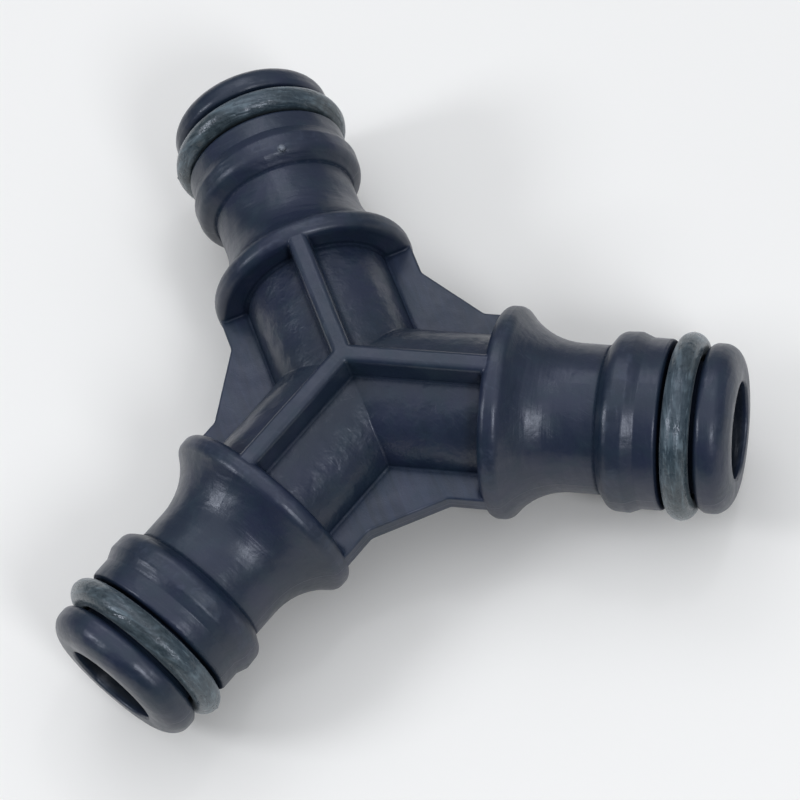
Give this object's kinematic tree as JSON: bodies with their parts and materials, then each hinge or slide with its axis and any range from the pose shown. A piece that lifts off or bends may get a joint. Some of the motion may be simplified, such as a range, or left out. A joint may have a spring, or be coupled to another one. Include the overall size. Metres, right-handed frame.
{
  "type": "hose y connector",
  "caption": "Flat Y-shaped hose coupler: round bored arms with stop flange, latch ridge and O-ring nose, joined by a ribbed and webbed hub.",
  "frame": {"origin": "hub centre, where the three bore axes meet; also the centre of mass", "axes": "+Z square to the plane of the arms, +Y out along the inlet arm, +X to the side of the right outlet arm"},
  "size_m": [0.0694, 0.0607, 0.0202],
  "materials": {
    "body_plastic": "satin moulded, dark navy charcoal",
    "seal_rubber": "slightly shiny, worn, dark greenish grey"
  },
  "bodies": {
    "root": {"body": "body_plastic", "oring_inlet": "seal_rubber", "oring_outlet_right": "seal_rubber", "oring_outlet_left": "seal_rubber"}
  },
  "joints": []
}
